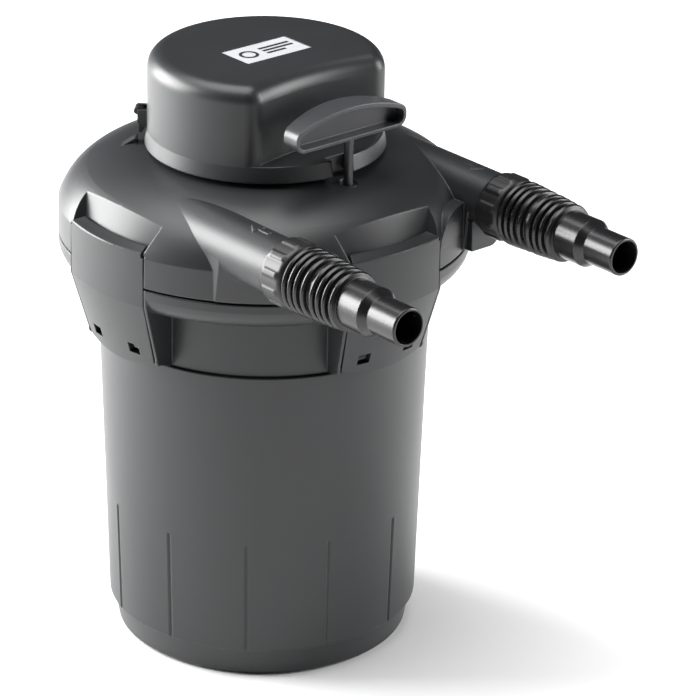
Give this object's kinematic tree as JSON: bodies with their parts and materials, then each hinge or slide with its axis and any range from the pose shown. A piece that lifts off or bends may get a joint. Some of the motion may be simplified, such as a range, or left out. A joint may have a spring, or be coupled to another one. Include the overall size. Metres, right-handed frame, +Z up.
{
  "type": "external pressure pond filter with UVC head",
  "caption": "Round pressure canister for a garden pond, with a domed latched lid, parallel stepped hose tails, a UVC lamp head and a T-handle that squeezes the foams.",
  "frame": {"origin": "centre of the container's flat bottom face", "axes": "+Z up through the lid, -Y the way both hose tails point, +X to the outlet's side"},
  "size_m": [0.2726, 0.3823, 0.406],
  "materials": {
    "housing": "fine matt grain, dark grey",
    "latch": "fine matt grain, dark grey",
    "grip": "satin, dark grey",
    "fitting": "smooth, black",
    "rod": "smooth, dark grey",
    "label": "satin silver",
    "seal": "smooth, black",
    "steel": "bright",
    "board": "green laminate",
    "quartz": "clear",
    "foam_coarse": "open foam, blue",
    "foam_fine": "open foam, red"
  },
  "bodies": {
    "canister": {"container": "housing", "lid": "housing", "lid_seal": "seal", "latch_pins": "steel", "inlet_hose_tail": "fitting", "inlet_union_gasket": "seal", "outlet_hose_tail": "fitting", "outlet_union_gasket": "seal", "head_cover": "housing", "label_plate": "label", "head_screws": "steel", "head_base": "housing", "head_gasket": "seal", "catch_pin": "steel", "cable_gland": "fitting", "gland_nut": "fitting", "circuit_board": "board", "ballast": "steel", "lamp_socket": "fitting", "uvc_lamp": "quartz", "quartz_sleeve": "quartz", "sleeve_seal": "seal", "sleeve_nut": "housing", "rod_bush": "fitting", "rod_seal": "seal", "foam_carrier": "fitting", "top_plate": "fitting", "foam_ring_1": "foam_coarse", "foam_ring_2": "foam_fine", "foam_ring_3": "foam_coarse", "foam_ring_4": "foam_fine", "foam_ring_5": "foam_coarse", "outlet_duct": "fitting"},
    "latch_front_body": {"latch_front": "latch"},
    "latch_right_body": {"latch_right": "latch"},
    "latch_rear_body": {"latch_rear": "latch"},
    "latch_left_body": {"latch_left": "latch"},
    "cleaning_handle": {"handle_grip": "grip", "pull_rod": "rod", "rod_nut": "fitting", "press_plate": "fitting"},
    "inlet_nut": {"inlet_union_nut": "fitting"},
    "outlet_nut": {"outlet_union_nut": "fitting"},
    "catch_lever": {"head_catch": "latch"}
  },
  "joints": [
    {"name": "latch_front_hinge", "type": "hinge", "parent": "canister", "child": "latch_front_body", "pos_m": [0, -0.1162, 0.2293], "axis": [1, 0, 0], "range_deg": [0, 100]},
    {"name": "latch_right_hinge", "type": "hinge", "parent": "canister", "child": "latch_right_body", "pos_m": [0.1162, 0, 0.2293], "axis": [0, 1, 0], "range_deg": [0, 100]},
    {"name": "latch_rear_hinge", "type": "hinge", "parent": "canister", "child": "latch_rear_body", "pos_m": [0, 0.1162, 0.2293], "axis": [-1, 0, 0], "range_deg": [0, 100]},
    {"name": "latch_left_hinge", "type": "hinge", "parent": "canister", "child": "latch_left_body", "pos_m": [-0.1162, 0, 0.2293], "axis": [0, -1, 0], "range_deg": [0, 100]},
    {"name": "cleaning_pull", "type": "slide", "parent": "canister", "child": "cleaning_handle", "axis": [0, 0, 1], "range_m": [0, 0.065], "deforming": ["foam_ring_1", "foam_ring_2", "foam_ring_3", "foam_ring_4", "foam_ring_5"]},
    {"name": "inlet_nut_turn", "type": "hinge", "parent": "canister", "child": "inlet_nut", "pos_m": [-0.09, -0.139, 0.317], "axis": [0, -1, 0], "continuous": true},
    {"name": "outlet_nut_turn", "type": "hinge", "parent": "canister", "child": "outlet_nut", "pos_m": [0.09, -0.139, 0.317], "axis": [0, -1, 0], "continuous": true},
    {"name": "head_catch_press", "type": "hinge", "parent": "canister", "child": "catch_lever", "pos_m": [-0.05813, 0.05712, 0.357], "axis": [-0.7009, -0.7133, 0], "range_deg": [-14, 0], "stiffness_Nm_per_rad": 0.02}
  ]
}
